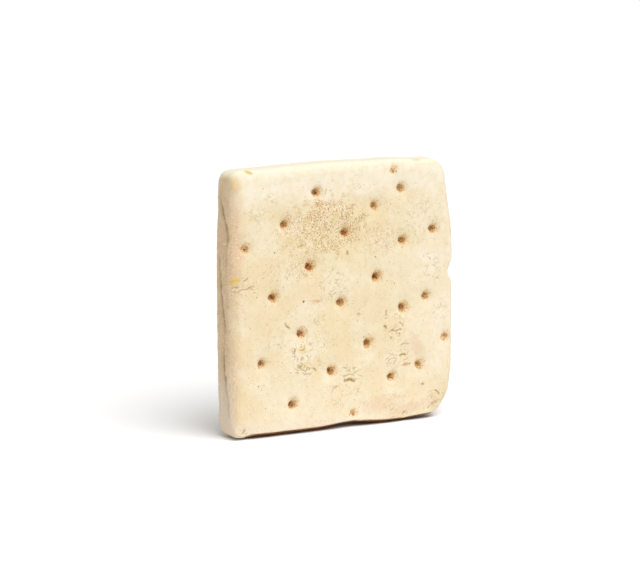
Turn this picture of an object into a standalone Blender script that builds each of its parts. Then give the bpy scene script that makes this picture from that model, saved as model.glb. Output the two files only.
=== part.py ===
"""A hardtack biscuit: a thick, nearly square cracker of flour and water, docked all over and baked hard.

It stands on its lower edge. +X runs along its width, -Y is its front face and +Z is up. The origin is
the middle of its foot. Lengths are in metres, and MM turns a figure in millimetres into them.
"""

import math

import bpy
from mathutils import Vector
from mathutils.geometry import delaunay_2d_cdt

MM = 0.001

# Size of the baked biscuit, over all.
WIDTH = 77.4 * MM
HEIGHT = 79.6 * MM
THICKNESS = 11.8 * MM

# The cut edge: how far each face rolls over into the side, and how round each corner is in plan.
FRONT_ROLL = 3.0 * MM
BACK_ROLL = 3.9 * MM
CORNER_RADII = {
    "bottom_left": 3.4 * MM,
    "bottom_right": 7.3 * MM,
    "top_right": 4.8 * MM,
    "top_left": 3.6 * MM,
}

# Along the foot the front edge is sharper: a small round that stays lifted off the ground, then an
# underside that slopes down to the foot. Over the last stretch of height it turns into the usual roll.
# The lift starts beside the left corner and dies away to the right: (from, to, share lost there).
LOWER_ROLL = 0.8 * MM
LOWER_LIFT = 1.0 * MM
LIFT_STARTS = (-37.5 * MM, -32.5 * MM, 0.9)
LIFT_FADES = (8.0 * MM, 32.0 * MM, 0.8)
LOWER_TOP, LOWER_FADE = 5.0 * MM, 3.0 * MM
LOWER_ROUND_SHARE = 0.6

# Where the dough spread or shrank at its edges: the side, the middle along it, half the length of the
# stretch, and how far out it goes (minus is inwards). The arch under the foot leaves two flat feet.
SWELLS = (
    ("top", -3.0 * MM, 32.0 * MM, 0.7 * MM),
    ("top", 19.0 * MM, 12.0 * MM, 0.4 * MM),
    ("bottom", 2.0 * MM, 12.0 * MM, -1.0 * MM),
    ("bottom", -40.0 * MM, 16.0 * MM, -0.3 * MM),
    ("bottom", 38.0 * MM, 23.0 * MM, -1.3 * MM),
    ("left", 84.0 * MM, 34.0 * MM, -0.8 * MM),
    ("left", -4.0 * MM, 34.0 * MM, -0.7 * MM),
    ("right", 84.0 * MM, 33.0 * MM, -3.5 * MM),
    ("right", 44.8 * MM, 4.5 * MM, -1.3 * MM),
    ("right", -4.0 * MM, 21.0 * MM, -2.4 * MM),
)

# The docker's pins: a skewed lattice of marks, with the place of its middle pin.
PIN_ORIGIN = (-4.05 * MM, 37.95 * MM)
ROW_PITCH, ROW_ANGLE = 15.8 * MM, math.radians(-56)
PIN_PITCH, PIN_ANGLE = 13.8 * MM, math.radians(-148)

# Each mark the pins left, as (row, pin): how far in mm the dough carried it to the right and up before it
# was baked, and its depth as a share of a full mark's.
DOCKS = {
    (-3, 0): (-2.0, 1.5, 0.25),
    (-2, -1): (0.0, 0.5, 1.0),
    (-2, 0): (1.0, -1.0, 0.9),
    (-2, 1): (-0.5, 0.0, 0.6),
    (-2, -3): (3.0, -9.0, 0.3),
    (-1, -3): (-3.0, -1.5, 1.0),
    (-1, -2): (-0.5, 1.0, 0.9),
    (-1, -1): (1.0, 1.0, 1.0),
    (-1, 0): (0.5, -1.0, 1.0),
    (-1, 1): (0.0, -2.0, 1.0),
    (0, -3): (-0.5, -1.5, 1.0),
    (0, -2): (0.5, 3.0, 1.0),
    (0, -1): (3.0, 0.0, 1.0),
    (0, 0): (2.5, 0.5, 0.9),
    (0, 1): (0.5, -0.5, 1.0),
    (0, 2): (-1.0, -1.0, 0.9),
    (1, -2): (0.0, -1.5, 0.9),
    (1, -1): (3.5, 3.0, 1.0),
    (1, 0): (3.0, 0.5, 1.0),
    (1, 1): (2.0, 0.5, 1.0),
    (1, 2): (0.5, -1.0, 1.0),
    (1, 3): (-4.0, -0.5, 0.2),
    (2, -2): (-2.0, -1.5, 0.4),
    (2, -1): (0.5, -2.0, 0.8),
    (2, 0): (2.5, 2.5, 1.0),
    (2, 1): (0.5, 0.0, 0.25),
    (3, -1): (-3.5, -3.0, 0.2),
    (3, 0): (-1.5, 3.5, 0.2),
}

# One full mark: a pit with steep walls at the bottom of a soft dimple, in a face that has puffed up a
# little between the marks. Each mark shows on the back too, but shallower.
PIT_DEPTH = 2.0 * MM
PIT_FLOOR_RADIUS = 0.5 * MM
PIT_MOUTH_RADIUS = 1.2 * MM
DIMPLE_DEPTH, DIMPLE_RADIUS = 0.8 * MM, 2.5 * MM
PUFF_DEPTH, PUFF_RADIUS = 0.35 * MM, 6.5 * MM
BACK_SHARE = 0.45

# How finely the solid is faceted.
SIDE_STEP = 3.0 * MM
FINE_STEP = 0.8 * MM
CORNER_SEGMENTS = 6
ROLL_SEGMENTS = 5
SIDE_SEGMENTS = 2
FACE_STEP = 3.2 * MM
DOCK_RINGS = (PIT_FLOOR_RADIUS, PIT_MOUTH_RADIUS, 1.7 * MM, DIMPLE_RADIUS)
DOCK_SIDES = 9


def clear_scene():
    for old in list(bpy.data.objects):
        bpy.data.objects.remove(old, do_unlink=True)


def smooth(t):
    """0 below 0, 1 above 1, and an even S between."""
    t = min(max(t, 0.0), 1.0)
    return t * t * (3 - 2 * t)


def hump(t):
    """1 in the middle, 0 from -1 outwards and from 1 outwards, level at both."""
    return 0.5 + 0.5 * math.cos(math.pi * t) if abs(t) < 1 else 0.0


def swollen(x, z):
    """A point of the plain rounded rectangle, moved as the edges swelled or shrank."""
    across = {"right": 2 * x / WIDTH, "left": -2 * x / WIDTH}
    upward = {"top": 2 * z / HEIGHT - 1, "bottom": 1 - 2 * z / HEIGHT}
    dx = dz = 0.0
    for side, middle, half_length, out in SWELLS:
        if side in across:
            sign = 1 if side == "right" else -1
            dx += sign * out * hump((z - middle) / half_length) * smooth(across[side])
        else:
            sign = 1 if side == "top" else -1
            dz += sign * out * hump((x - middle) / half_length) * smooth(upward[side])
    return x + dx, z + dz


def dock_places():
    """(x, z, share of a full mark's depth) of every mark."""
    places = []
    for (row, pin), (right, up, share) in DOCKS.items():
        x = PIN_ORIGIN[0] + row * ROW_PITCH * math.cos(ROW_ANGLE) + pin * PIN_PITCH * math.cos(PIN_ANGLE)
        z = PIN_ORIGIN[1] + row * ROW_PITCH * math.sin(ROW_ANGLE) + pin * PIN_PITCH * math.sin(PIN_ANGLE)
        places.append((x + right * MM, z + up * MM, share))
    return places


def relief(x, z, places):
    """How far the baked face lies below its highest level at (x, z)."""
    depth = 0.0
    for dock_x, dock_z, share in places:
        away = math.hypot(x - dock_x, z - dock_z)
        if away < PUFF_RADIUS:
            depth += PUFF_DEPTH * min(1.0, 2 * share) * hump(away / PUFF_RADIUS)
            depth += DIMPLE_DEPTH * share * hump(away / DIMPLE_RADIUS)
            into_pit = (PIT_MOUTH_RADIUS - away) / (PIT_MOUTH_RADIUS - PIT_FLOOR_RADIUS)
            depth += PIT_DEPTH * share * smooth(into_pit)
    return depth


def straight_stops(start, end, near):
    """Distances along a straight side: SIDE_STEP apart, and FINE_STEP apart beside the marks in near."""
    stops = [start]
    while stops[-1] < end:
        here = stops[-1]
        beside = any(abs(here - place) < 2 * PIT_MOUTH_RADIUS for place in near)
        ahead = min((place - 2 * PIT_MOUTH_RADIUS - here for place in near if place > here), default=end)
        step = FINE_STEP if beside else min(SIDE_STEP, max(FINE_STEP, ahead))
        stops.append(here + step)
    stops[-1] = end
    if len(stops) > 2 and end - stops[-2] < FINE_STEP / 2:
        stops.pop(-2)
    return stops


def outline(places):
    """The widest contour of the biscuit as (x, z), anticlockwise seen from the front."""
    half = WIDTH / 2
    reach = FRONT_ROLL + PIT_MOUTH_RADIUS
    radii = CORNER_RADII
    sides = (  # from, to, the corner that ends it and that corner's first angle
        ((-half + radii["bottom_left"], 0), (half - radii["bottom_right"], 0), "bottom_right", -90),
        ((half, radii["bottom_right"]), (half, HEIGHT - radii["top_right"]), "top_right", 0),
        ((half - radii["top_right"], HEIGHT), (-half + radii["top_left"], HEIGHT), "top_left", 90),
        ((-half, HEIGHT - radii["top_left"]), (-half, radii["bottom_left"]), "bottom_left", 180),
    )
    points = []
    for (x0, z0), (x1, z1), corner, first in sides:
        length = math.hypot(x1 - x0, z1 - z0)
        ux, uz = (x1 - x0) / length, (z1 - z0) / length
        near = []
        for x, z, _ in places:
            along, off = (x - x0) * ux + (z - z0) * uz, abs((x - x0) * uz - (z - z0) * ux)
            if off < reach and 0 < along < length:
                near.append(along)
        near.sort()
        points += [(x0 + s * ux, z0 + s * uz) for s in straight_stops(0, length, near)]
        radius = radii[corner]
        centre = (x1 - radius * uz, z1 + radius * ux)
        for k in range(1, CORNER_SEGMENTS):
            angle = math.radians(first + 90 * k / CORNER_SEGMENTS)
            points.append((centre[0] + radius * math.cos(angle), centre[1] + radius * math.sin(angle)))
    return [swollen(x, z) for x, z in points]


def drawn_in(x, z, inset):
    """A point of the contour, drawn towards the middle of the face by inset."""
    return x * (1 - 2 * inset / WIDTH), HEIGHT / 2 + (z - HEIGHT / 2) * (1 - 2 * inset / HEIGHT)


def rolled(radius, share):
    """(inset, drop) on a quarter round between a face, at share 0, and the side, at share 1."""
    turn = math.pi / 2 * share
    return radius * (1 - math.sin(turn)), radius * (1 - math.cos(turn))


def lower_lift(x):
    """How far the front edge is lifted off the ground along the foot."""
    start, full, lost = LIFT_STARTS
    lift = LOWER_LIFT * (1 - lost * smooth((full - x) / (full - start)))
    start, end, lost = LIFT_FADES
    return lift * (1 - lost * smooth((x - start) / (end - start)))


def front_edge(share, x, z):
    """(inset, drop) between the front face and the side, for a contour point at (x, z)."""
    inset, drop = rolled(FRONT_ROLL, share)
    if share < LOWER_ROUND_SHARE:
        lower_inset, lower_drop = rolled(LOWER_ROLL, share / LOWER_ROUND_SHARE)
        lower_inset += lower_lift(x)
    else:
        along = (share - LOWER_ROUND_SHARE) / (1 - LOWER_ROUND_SHARE)
        lower_inset = lower_lift(x) * (1 - along)
        lower_drop = LOWER_ROLL + along * (FRONT_ROLL - LOWER_ROLL)
    lower = smooth((LOWER_TOP - z) / LOWER_FADE)
    return inset + lower * (lower_inset - inset), drop + lower * (lower_drop - drop)


def edge_rings(contour, places):
    """The rings of points round the edge, from the border of the front face to that of the back."""
    front, back = -THICKNESS / 2, THICKNESS / 2
    rings = []
    for k in range(ROLL_SEGMENTS + 1):
        share = k / ROLL_SEGMENTS
        ring = []
        for x, z in contour:
            inset, drop = front_edge(share, x, z)
            in_x, in_z = drawn_in(x, z, inset)
            sunk = math.cos(math.pi / 2 * share) * relief(in_x, in_z, places)
            ring.append((in_x, front + drop + sunk, in_z))
        rings.append(ring)
    for k in range(1, SIDE_SEGMENTS):
        y = front + FRONT_ROLL + k / SIDE_SEGMENTS * (THICKNESS - FRONT_ROLL - BACK_ROLL)
        rings.append([(x, y, z) for x, z in contour])
    for k in range(ROLL_SEGMENTS + 1):
        share = 1 - k / ROLL_SEGMENTS
        inset, drop = rolled(BACK_ROLL, share)
        ring = []
        for x, z in contour:
            in_x, in_z = drawn_in(x, z, inset)
            sunk = math.cos(math.pi / 2 * share) * BACK_SHARE * relief(in_x, in_z, places)
            ring.append((in_x, back - drop - sunk, in_z))
        rings.append(ring)
    return rings


def inside(x, z, border, margin):
    """True if (x, z) is inside the border polygon and no nearer than margin to its corners."""
    within = False
    for (ax, az), (bx, bz) in zip(border, border[1:] + border[:1]):
        if (az > z) != (bz > z) and x < ax + (z - az) * (bx - ax) / (bz - az):
            within = not within
        if math.hypot(ax - x, az - z) < margin:
            return False
    return within


def face_points(border, places):
    """Points inside the border: rings round every mark, and an even triangular grid between them."""
    points = []
    for dock_x, dock_z, share in places:
        points.append((dock_x, dock_z))
        for k, radius in enumerate(DOCK_RINGS):
            for n in range(DOCK_SIDES):
                angle = 2 * math.pi * (n + k / 2) / DOCK_SIDES
                points.append((dock_x + radius * math.cos(angle), dock_z + radius * math.sin(angle)))
    clear = DOCK_RINGS[-1] + FACE_STEP / 3
    row_step = FACE_STEP * math.sqrt(3) / 2
    for row in range(int(HEIGHT / row_step) + 1):
        for n in range(-int(WIDTH / FACE_STEP), int(WIDTH / FACE_STEP)):
            x, z = (n + row % 2 / 2) * FACE_STEP, row * row_step
            if all(math.hypot(x - dock_x, z - dock_z) > clear for dock_x, dock_z, _ in places):
                points.append((x, z))
    return [(x, z) for x, z in points if inside(x, z, border, FINE_STEP * 0.7)]


def face_triangles(border, inner):
    """Triangles over the border and the points inside it, as indices into border + inner."""
    flat = [Vector(point) for point in border + inner]
    loop = [(n, (n + 1) % len(border)) for n in range(len(border))]
    made = delaunay_2d_cdt(flat, loop, [], 1, 1e-6 * MM)
    source = [came_from[0] for came_from in made[3]]
    return [[source[n] for n in triangle] for triangle in made[2]]


def biscuit_mesh():
    places = dock_places()
    rings = edge_rings(outline(places), places)
    count = len(rings[0])
    points = [point for ring in rings for point in ring]
    faces = []
    for near in range(0, len(points) - count, count):
        for n in range(count):
            after = (n + 1) % count
            faces.append((near + n, near + count + n, near + count + after, near + after))

    for first, y, into in (
        (0, -THICKNESS / 2, 1.0),
        (len(points) - count, THICKNESS / 2, -BACK_SHARE),
    ):
        border = [(x, z) for x, _, z in points[first : first + count]]
        inner = face_points(border, places)
        index = [*range(first, first + count), *range(len(points), len(points) + len(inner))]
        points += [(x, y + into * relief(x, z, places), z) for x, z in inner]
        for a, b, c in face_triangles(border, inner):
            corners = (index[a], index[b], index[c])
            faces.append(corners if into > 0 else corners[::-1])

    mesh = bpy.data.meshes.new("biscuit")
    mesh.from_pydata(points, [], faces)
    return mesh


def baked_dough():
    """Pale, dry and matt: flour and water, hardly browned."""
    material = bpy.data.materials.new("baked_dough")
    material.use_nodes = True
    shader = material.node_tree.nodes["Principled BSDF"]
    shader.inputs["Base Color"].default_value = (0.80, 0.66, 0.44, 1.0)
    shader.inputs["Roughness"].default_value = 0.85
    shader.inputs["Metallic"].default_value = 0.0
    return material


def main():
    clear_scene()
    mesh = biscuit_mesh()
    mesh.materials.append(baked_dough())
    mesh.shade_smooth()
    mesh.set_sharp_from_angle(angle=math.radians(50))
    biscuit = bpy.data.objects.new("biscuit", mesh)
    bpy.context.scene.collection.objects.link(biscuit)


main()
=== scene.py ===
"""A hardtack biscuit on a white studio floor: a thick square of flour and water, docked and baked hard.

Every place and size below is in millimetres unless its name says otherwise, in the frame of the CAD part:
+X along the biscuit's width, -Y out of its front face, +Z up from the foot that it stands on.
"""

import math
from functools import partial

import bpy
import numpy as np
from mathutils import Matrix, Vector
from mathutils.geometry import delaunay_2d_cdt


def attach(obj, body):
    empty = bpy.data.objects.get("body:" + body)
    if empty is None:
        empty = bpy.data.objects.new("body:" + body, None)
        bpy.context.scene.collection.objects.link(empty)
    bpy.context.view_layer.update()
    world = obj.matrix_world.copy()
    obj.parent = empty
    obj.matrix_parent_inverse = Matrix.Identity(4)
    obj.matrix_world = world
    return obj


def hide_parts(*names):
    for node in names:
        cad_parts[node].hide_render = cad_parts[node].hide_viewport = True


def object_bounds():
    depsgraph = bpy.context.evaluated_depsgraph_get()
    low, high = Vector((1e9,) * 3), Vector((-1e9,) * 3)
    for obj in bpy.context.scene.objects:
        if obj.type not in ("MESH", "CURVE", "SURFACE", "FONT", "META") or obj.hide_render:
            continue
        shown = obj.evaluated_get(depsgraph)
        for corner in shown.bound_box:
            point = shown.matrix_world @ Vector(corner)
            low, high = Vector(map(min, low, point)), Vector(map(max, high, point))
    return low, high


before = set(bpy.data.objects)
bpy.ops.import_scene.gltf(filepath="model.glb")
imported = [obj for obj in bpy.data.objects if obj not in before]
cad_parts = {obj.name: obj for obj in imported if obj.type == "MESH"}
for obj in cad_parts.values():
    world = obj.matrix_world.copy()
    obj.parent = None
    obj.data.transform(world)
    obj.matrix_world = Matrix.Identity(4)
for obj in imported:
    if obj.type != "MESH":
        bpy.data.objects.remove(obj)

bl_info = {
    "name": "Hardtack biscuit",
    "version": (1, 0, 0),
    "blender": (4, 5, 0),
    "location": "3D View > Sidebar > Biscuit",
    "description": "Builds a docked hardtack biscuit with its crust, flecks and flakes",
    "category": "Add Mesh",
}

MM = 0.001
CAD_LOW, CAD_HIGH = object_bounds()
WIDTH, THICKNESS, BOX_HEIGHT = (CAD_HIGH - CAD_LOW) / MM

# ---- the plain form, as the CAD solid has it

CROWN = 0.7  # how far the middle of the top edge rises above its ends
HEIGHT = BOX_HEIGHT - CROWN
FRONT, BACK = -THICKNESS / 2, THICKNESS / 2
FRONT_ROLL, BACK_ROLL = 3.0, 3.9

# Corners, anticlockwise: which side, whether at the top, radius, and where the arc starts in degrees.
CORNERS = ((1, False, 7.3, -90), (1, True, 4.8, 0), (-1, True, 3.6, 90), (-1, False, 3.4, 180))

# Along the foot the front edge is sharper: a small round that stays lifted off the ground, then an
# underside that slopes down to the foot. Over the last stretch of height it turns into the usual roll.
# The lift starts beside the left corner and dies away to the right: (from, to, share lost there).
LOWER_ROLL, LOWER_LIFT = 0.8, 1.0
LIFT_STARTS, LIFT_FADES = (-37.5, -32.5, 0.9), (8.0, 32.0, 0.8)
LOWER_TOP, LOWER_FADE = 5.0, 3.0
LOWER_ROUND_SHARE = 0.6

# Where the dough spread or shrank: side, middle of the stretch, half its length, how far out.
SWELLS = (
    ("top", -3.0, 32.0, CROWN), ("top", 19.0, 12.0, 0.4), ("bottom", 2.0, 12.0, -1.0),
    ("bottom", -40.0, 16.0, -0.3), ("bottom", 38.0, 23.0, -1.3), ("left", 84.0, 34.0, -0.8),
    ("left", -4.0, 34.0, -0.7), ("right", 84.0, 33.0, -3.5), ("right", 44.8, 4.5, -1.3),
    ("right", -4.0, 21.0, -2.4),
)

# The docker's pins: a skewed lattice of marks, from the place of its middle pin.
PIN_ORIGIN = (-4.05, 37.95)
ROW_PITCH, ROW_ANGLE = 15.8, math.radians(-56)
PIN_PITCH, PIN_ANGLE = 13.8, math.radians(-148)

# Each mark as (row, pin): how far the dough carried it right and up, its depth as a share of a full
# mark's, and how brown the oven left it, from 0 to 1.
DOCKS = {
    (-3, 0): (-2.0, 1.5, 0.25, 0.0), (-2, -1): (0.0, 0.5, 1.0, 0.8), (-2, 0): (1.0, -1.0, 0.9, 0.78),
    (-2, 1): (-0.5, 0.0, 0.6, 0.82), (-2, -3): (3.0, -9.0, 0.3, 0.75), (-1, -3): (-3.0, -1.5, 1.0, 0.62),
    (-1, -2): (-0.5, 1.0, 0.9, 0.66), (-1, -1): (1.0, 1.0, 1.0, 1.0), (-1, 0): (0.5, -1.0, 1.0, 1.0),
    (-1, 1): (0.0, -2.0, 1.0, 0.9), (0, -3): (-0.5, -1.5, 1.0, 0.8), (0, -2): (0.5, 3.0, 1.0, 0.8),
    (0, -1): (3.0, 0.0, 1.0, 0.96), (0, 0): (2.5, 0.5, 0.9, 0.88), (0, 1): (0.5, -0.5, 1.0, 0.95),
    (0, 2): (-1.0, -1.0, 0.9, 0.7), (1, -2): (0.0, -1.5, 0.9, 0.7), (1, -1): (3.5, 3.0, 1.0, 0.98),
    (1, 0): (3.0, 0.5, 1.0, 0.98), (1, 1): (2.0, 0.5, 1.0, 0.87), (1, 2): (0.5, -1.0, 1.0, 0.88),
    (1, 3): (-4.0, -0.5, 0.2, 0.15), (2, -2): (-2.0, -1.5, 0.4, 0.9), (2, -1): (0.5, -2.0, 0.8, 0.75),
    (2, 0): (2.5, 2.5, 1.0, 0.75), (2, 1): (0.5, 0.0, 0.25, 0.7), (3, -1): (-3.5, -3.0, 0.2, 0.1),
    (3, 0): (-1.5, 3.5, 0.2, 0.1),
}

# Marks that are ruddier than the rest, up to 1, or greener, down to -1.
RUDDY = {
    (-1, 0): 1.0, (-1, -1): 0.8, (0, 1): 0.8, (2, 1): 0.6, (-1, 1): 0.4, (-1, -2): -0.4, (-2, 1): -1.0,
    (2, -1): -1.0,
}

# One full mark: a pit with steep walls at the bottom of a soft dimple, in a face puffed up between marks.
PIT_FLOOR_RADIUS, PIT_MOUTH_RADIUS = 0.4, 1.3
PIT_DRAG = 0.15  # how far the pin dragged to the right as it was drawn out
PIT_RAGGEDNESS, BROWN_RAGGEDNESS = 0.07, 0.10  # how torn the edges of a pit and of its browning are
DIMPLE_DEPTH, DIMPLE_RADIUS = 0.8, 2.5
PUFF_DEPTH, PUFF_RADIUS = 0.55, 5.8
BACK_SHARE = 0.45  # how deep the marks are on the back, as a share of those on the front
CALM_RADIUS, CRUMBLY_RADIUS = 2.4, 1.7  # how far from its middle a mark keeps the skin even, and crumbly
SKIN_TOOTH = 0.015  # how rough the front is where nothing broke it
FOOT_HEIGHT = 1.4  # the foot keeps its plain form up to about here, so that the biscuit stands flat

# ---- what the oven did to the skin

# Stretches of the front where the skin blistered and cracked into small flakes: middle (x, z), half its
# size in x and z, how strong, and how wide one flake is.
FLAKY = {
    "left_edge": (-33.8, 45.5, 4.2, 2.6, 0.9, 2.6),
    "beside_rim_above": (-29.7, 66.6, 5.0, 3.0, 0.4, 2.4),
    "upper_left": (-24.0, 71.2, 3.6, 2.0, 0.5, 1.6),
    "under_left_mark": (-23.4, 48.5, 4.5, 3.5, 0.5, 1.8),
    "middle": (-4.5, 44.3, 6.0, 5.0, 0.75, 2.3),
    "small_middle": (-9.0, 34.1, 2.6, 1.8, 0.6, 1.6),
    "blister": (-14.0, 22.3, 5.2, 5.0, 1.0, 2.2),
    "beside_blister": (-6.5, 27.3, 4.0, 3.5, 0.5, 1.9),
    "low_left": (-24.0, 28.3, 5.5, 3.5, 0.4, 1.8),
    "right_middle": (17.2, 29.7, 4.2, 6.0, 0.85, 2.4),
    "right_low": (18.3, 19.8, 5.5, 3.4, 0.8, 2.2),
    "around_slit": (1.5, 14.5, 4.5, 5.0, 0.85, 2.4),
    "low_middle": (-3.0, 9.9, 5.5, 3.6, 0.65, 2.6),
    "right_corner": (32.0, 7.0, 4.2, 4.2, 0.6, 2.0),
    "lower_right": (16.0, 7.8, 6.0, 3.5, 0.35, 2.0),
    "upper_right": (26.5, 61.8, 8.0, 7.5, 0.4, 2.2),
    "beside_notch": (30.2, 47.0, 4.5, 4.5, 0.6, 2.6),
    "right_edge": (33.5, 32.3, 3.4, 5.0, 0.45, 2.0),
    "near_top": (3.1, 73.0, 3.2, 1.5, 0.5, 2.0),
}

# Patches of rough, browned grain: the same, with the width of a grain.
TOASTED = {
    "main": (-5.5, 61.6, 12.5, 8.6, 1.0, 1.0),
    "left_of_main": (-16.5, 60.8, 7.5, 6.5, 0.5, 1.2),
    "around_red_mark": (-14.5, 50.8, 6.5, 4.5, 0.5, 1.0),
    "right_of_main": (12.0, 56.8, 8.0, 5.0, 0.4, 1.2),
}
PATCHES = [*FLAKY.values(), *TOASTED.values()]

# Short slits in the skin: middle (x, z), half its length, tilt in degrees, half its width, depth.
SLITS = (
    (1.5, 14.6, 2.4, -4.0, 0.42, 0.40), (1.0, 16.2, 2.4, 2.0, 0.16, 0.18),
    (-3.4, 13.0, 1.5, 22.0, 0.16, 0.18), (-20.0, 33.0, 1.5, -52.0, 0.22, 0.25),
    (14.3, 34.0, 1.1, 90.0, 0.20, 0.22), (13.8, 29.6, 0.8, -62.0, 0.26, 0.30),
    (17.8, 28.3, 2.2, 2.0, 0.18, 0.25), (19.6, 30.0, 1.3, -54.0, 0.16, 0.20),
    (20.1, 20.6, 1.4, 0.0, 0.24, 0.30), (20.8, 23.9, 1.7, 4.0, 0.18, 0.20),
    (32.4, 8.0, 1.3, -48.0, 0.18, 0.22), (-15.1, 19.8, 2.3, -41.0, 0.16, 0.20),
    (-13.6, 18.0, 1.6, -14.0, 0.15, 0.18), (-17.4, 24.4, 1.8, 88.0, 0.18, 0.22),
    (-10.7, 19.0, 1.0, -36.0, 0.20, 0.22), (-34.0, 45.0, 3.6, 12.0, 0.16, 0.20),
    (-33.8, 47.8, 0.9, 42.0, 0.18, 0.20), (-6.8, 71.9, 1.0, 60.0, 0.16, 0.15),
)
SLIT_WAVE = 0.18  # how far a slit wavers from a straight line

# The seam in the left side, where the dough was pressed together, in two strands that pass each other:
# height, place across the thickness, and how open it is there from 0 to 1.
SEAMS = (
    (
        (74.3, 1.6, 0.0), (69.9, 1.0, 0.6), (67.1, -0.4, 1.0), (64.8, -2.2, 1.0), (61.3, -3.4, 0.9),
        (58.5, -3.2, 0.5), (56.3, -2.8, 0.25), (50.0, -2.8, 0.15), (47.5, -2.8, 0.0),
    ),
    (
        (54.8, 1.6, 0.0), (53.5, 1.5, 0.5), (50.4, 0.8, 0.6), (46.8, 0.4, 0.7), (41.8, 0.2, 0.8),
        (39.4, -0.6, 0.9), (36.4, -1.6, 0.7), (32.3, -1.9, 0.3), (27.3, -0.9, 0.3), (24.3, -0.9, 0.9),
        (20.3, -1.2, 1.0), (17.3, -1.7, 1.0), (16.0, -1.8, 0.4), (10.8, -2.9, 0.4), (5.3, -3.2, 0.0),
    ),
)
SEAM_HALF_WIDTH = 0.38
LIP_WIDTH, FOLD_WIDTH = 0.8, 1.3  # how far the lip reaches in front of the seam, and the fold behind it

# Stains by colour: middle (x, z), half its size along and across, tilt in degrees, and strength.
# Where two are equally strong, the first one shows.
STAINS = {
    "butter": (
        (-37.2, 47.7, 1.6, 0.6, 22, 0.9), (-37.9, 46.6, 0.5, 0.7, 0, 0.5),
    ),
    "butter_pale": (
        (-32.0, 79.3, 1.2, 0.9, -25, 0.95), (25.7, 79.6, 2.0, 0.5, 0, 0.7), (15.4, 18.4, 1.1, 0.4, 4, 0.8),
        (-37.0, 76.0, 2.4, 2.6, 0, 0.35),
    ),
    # Of the rose stains, the two long faint ones low on the right, at (12.5, 6.2) and (22.0, 4.0), are
    # painted shade where the lower edge turns under.
    "rose": (
        (-10.3, 39.6, 2.0, 0.7, 0, 0.5), (-10.0, 39.5, 1.2, 0.22, -4, 0.9), (21.0, 17.6, 1.8, 0.6, 0, 0.8),
        (2.6, 4.8, 1.1, 0.6, 38, 0.85), (24.8, 23.4, 5.0, 2.2, -58, 0.22), (12.5, 6.2, 7.5, 3.0, 4, 0.24),
        (22.0, 4.0, 9.0, 2.0, 8, 0.24),
    ),
    "tan": (
        (-31.4, 79.0, 0.7, 0.4, -25, 0.75), (22.6, 17.7, 0.5, 0.3, 20, 0.8), (31.3, 4.7, 1.9, 0.7, 28, 0.5),
        (17.5, 29.8, 2.6, 1.6, 0, 0.2), (0.5, 53.3, 0.5, 0.9, 0, 0.7), (4.5, 34.5, 0.5, 0.7, 0, 0.6),
        (4.2, 32.5, 0.4, 0.5, 0, 0.55), (19.9, 53.5, 0.5, 0.5, 0, 0.5),
    ),
    "umber": (
        (1.8, 4.1, 0.6, 0.3, 40, 0.8), (-34.2, 2.9, 0.6, 0.3, 45, 0.6), (-34.8, 2.3, 0.5, 0.3, 30, 0.5),
        (20.8, 2.6, 0.8, 0.35, 30, 0.5), (29.6, 3.6, 0.9, 0.3, 50, 0.7), (27.2, 11.0, 0.5, 0.5, 0, 0.7),
        (15.9, 26.3, 0.5, 0.5, 0, 0.5),
    ),
    "straw": (
        (-18.7, 58.5, 2.2, 1.2, 0, 0.5), (-13.5, 63.2, 2.2, 1.2, 0, 0.45), (-3.6, 64.3, 1.6, 2.4, 0, 0.4),
        (36.3, 15.8, 2.2, 0.35, -76, 0.8), (-9.0, 34.1, 2.0, 1.2, 0, 0.35), (-14.8, 25.5, 1.6, 1.2, 0, 0.7),
        (-13.9, 20.4, 1.8, 1.3, 0, 0.6), (-9.5, 17.3, 2.6, 1.5, 0, 0.3), (17.0, 28.8, 4.0, 5.0, 0, 0.2),
        (6.0, 50.3, 8.0, 4.0, 0, 0.25), (-5.0, 54.5, 18.0, 8.0, 0, 0.25),
        (16.0, 60.0, 12.0, 5.0, -20, 0.15), (-4.0, 32.0, 7.0, 6.0, 0, 0.25), (20.0, 37.0, 9.0, 7.0, 0, 0.2),
    ),
}

# Dark bran flecks big enough to see singly: (x, z) and length.
BIG_FLECKS = (
    (-24.1, 55.1, 0.55), (-30.1, 42.3, 0.40), (-14.4, 39.8, 0.75), (17.0, 42.8, 0.45), (10.3, 51.3, 0.50),
    (-29.6, 15.8, 0.50), (-18.8, 18.8, 0.40), (-5.2, 72.2, 0.35), (27.2, 11.0, 0.45), (-26.6, 13.3, 0.30),
    (31.0, 23.3, 0.35),
)


def linear(colour):
    """An sRGB hex colour as linear RGBA."""
    channels = [int(colour[k : k + 2], 16) / 255 for k in (1, 3, 5)]
    return [c / 12.92 if c <= 0.04045 else ((c + 0.055) / 1.055) ** 2.4 for c in channels] + [1.0]


def shade(name, colour, what):
    """A colour that a user can change."""
    return bpy.props.FloatVectorProperty(
        name=name, description=what, size=4, min=0, max=1, subtype="COLOR", default=linear(colour)
    )


def length(name, millimetres, what):
    """A length that a user can change."""
    return bpy.props.FloatProperty(
        name=name, description=what, min=0, unit="LENGTH", default=millimetres * MM
    )


def number(name, default, what):
    """A count that a user can change."""
    return bpy.props.IntProperty(name=name, description=what, min=0, default=default)


def brightness(name, default, what):
    """A brightness that a user can change."""
    return bpy.props.FloatProperty(name=name, description=what, min=0, default=default)


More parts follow.
